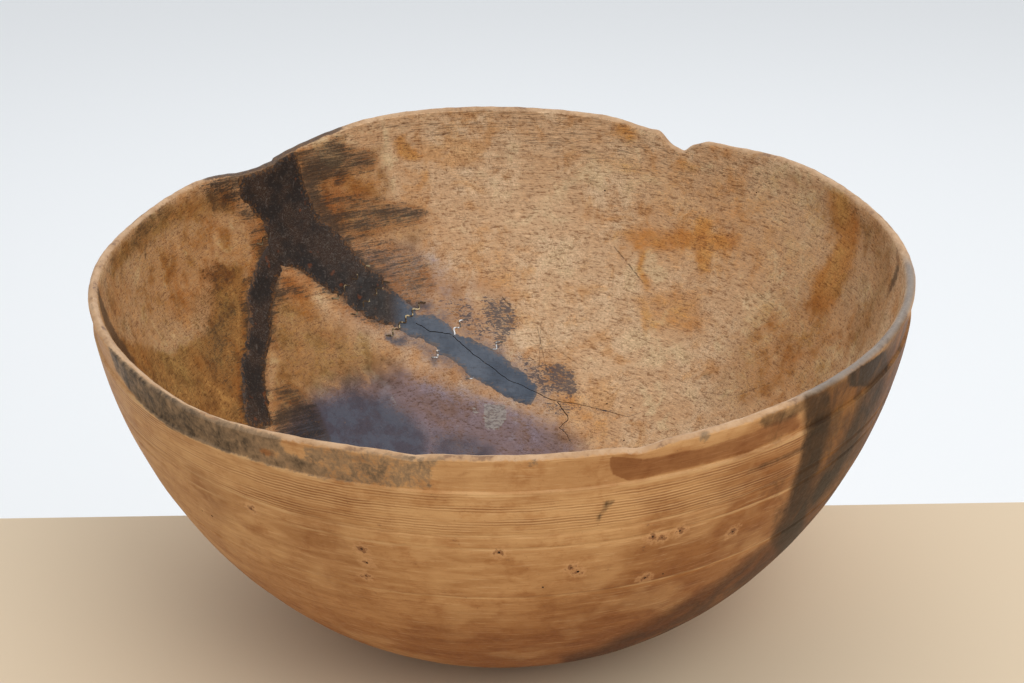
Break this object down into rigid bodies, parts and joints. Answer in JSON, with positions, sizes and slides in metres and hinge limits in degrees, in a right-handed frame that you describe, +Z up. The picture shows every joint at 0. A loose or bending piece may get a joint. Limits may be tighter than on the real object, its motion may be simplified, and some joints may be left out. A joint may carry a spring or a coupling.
{
  "type": "dough bowl",
  "caption": "Large round turned wooden dough bowl with a worn uneven rim, a collar and grooves, and an old crack closed with dark filler strips and corrugated steel fasteners.",
  "frame": {"origin": "middle of the flat on the underside, where the bowl stands", "axes": "+Z up along the bowl's axis, -Y towards the pictured front, +X to the right in the picture"},
  "size_m": [0.4394, 0.4398, 0.2104],
  "materials": {
    "birch": "old oiled birch, worn smooth, with stains and knife scratches",
    "filler": "hard black pitch filler, worn to slate grey on the main strip",
    "fastener_steel": "thin corrugated steel strip seen on edge, worn bright"
  },
  "bodies": {
    "root": {"bowl_body": "birch", "main_crack_filler": "filler", "branch_crack_filler": "filler", "wiggle_nail_1": "fastener_steel", "wiggle_nail_2": "fastener_steel", "wiggle_nail_3": "fastener_steel", "wiggle_nail_4": "fastener_steel", "wiggle_nail_5": "fastener_steel", "wiggle_nail_6": "fastener_steel"}
  },
  "joints": []
}
